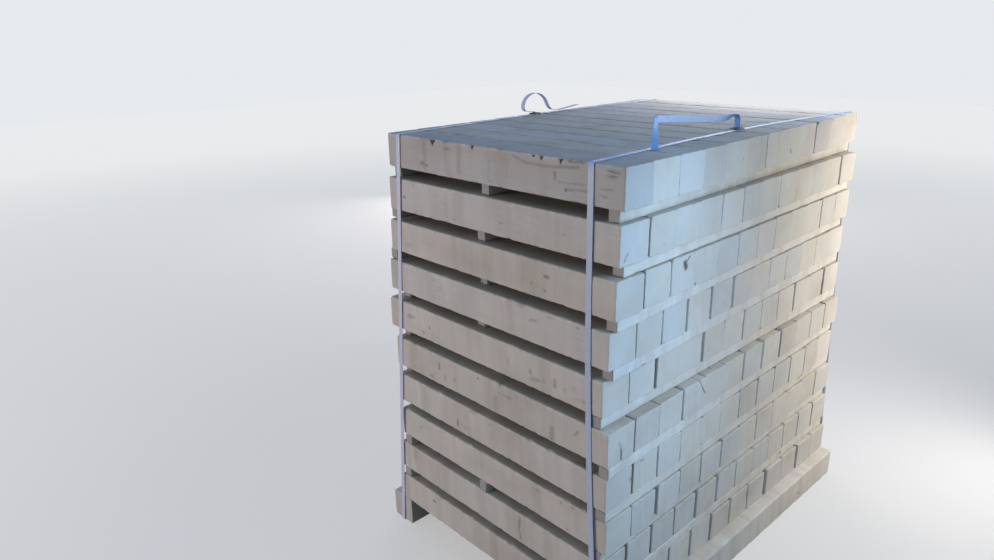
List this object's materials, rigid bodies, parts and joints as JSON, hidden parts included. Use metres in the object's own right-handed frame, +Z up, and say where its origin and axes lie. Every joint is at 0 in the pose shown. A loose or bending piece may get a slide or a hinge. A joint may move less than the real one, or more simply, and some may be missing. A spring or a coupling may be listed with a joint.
{
  "type": "stack of lumber",
  "caption": "Strapped stack of short sawn softwood beams in layers on spacers, standing on two bearers with fork room between them.",
  "frame": {"origin": "on the floor, under the middle of the whole stack's box", "axes": "+X along the beams, +Y across the stack, +Z up; the side at -Y and the ends at +X are the two that the picture shows"},
  "size_m": [0.9, 1.248, 1.3335],
  "materials": {
    "sawn_softwood": "rough sawn",
    "spacer_wood": "rough sawn",
    "bearer_wood": "rough sawn, weathered",
    "strap_weave": "corded polyester band",
    "buckle_wire": "phosphated"
  },
  "bodies": {
    "root": {"beam_layer_01": "sawn_softwood", "beam_layer_02": "sawn_softwood", "beam_layer_03": "sawn_softwood", "beam_layer_04": "sawn_softwood", "beam_layer_05": "sawn_softwood", "beam_layer_06": "sawn_softwood", "beam_layer_07": "sawn_softwood", "beam_layer_08": "sawn_softwood", "beam_layer_09": "sawn_softwood", "beam_layer_10": "sawn_softwood", "bearer_left": "bearer_wood", "bearer_right": "bearer_wood", "buckle_left": "buckle_wire", "buckle_right": "buckle_wire", "spacer_01_left": "spacer_wood", "spacer_01_middle": "spacer_wood", "spacer_01_right": "spacer_wood", "spacer_02_left": "spacer_wood", "spacer_02_middle": "spacer_wood", "spacer_02_right": "spacer_wood", "spacer_03_left": "spacer_wood", "spacer_03_middle": "spacer_wood", "spacer_03_right": "spacer_wood", "spacer_04_left": "spacer_wood", "spacer_04_middle": "spacer_wood", "spacer_04_right": "spacer_wood", "spacer_05_left": "spacer_wood", "spacer_05_middle": "spacer_wood", "spacer_05_right": "spacer_wood", "spacer_06_left": "spacer_wood", "spacer_06_middle": "spacer_wood", "spacer_06_right": "spacer_wood", "spacer_07_left": "spacer_wood", "spacer_07_middle": "spacer_wood", "spacer_07_right": "spacer_wood", "spacer_08_left": "spacer_wood", "spacer_08_middle": "spacer_wood", "spacer_08_right": "spacer_wood", "spacer_09_left": "spacer_wood", "spacer_09_middle": "spacer_wood", "spacer_09_right": "spacer_wood", "strap_left": "strap_weave", "strap_right": "strap_weave"}
  },
  "joints": []
}
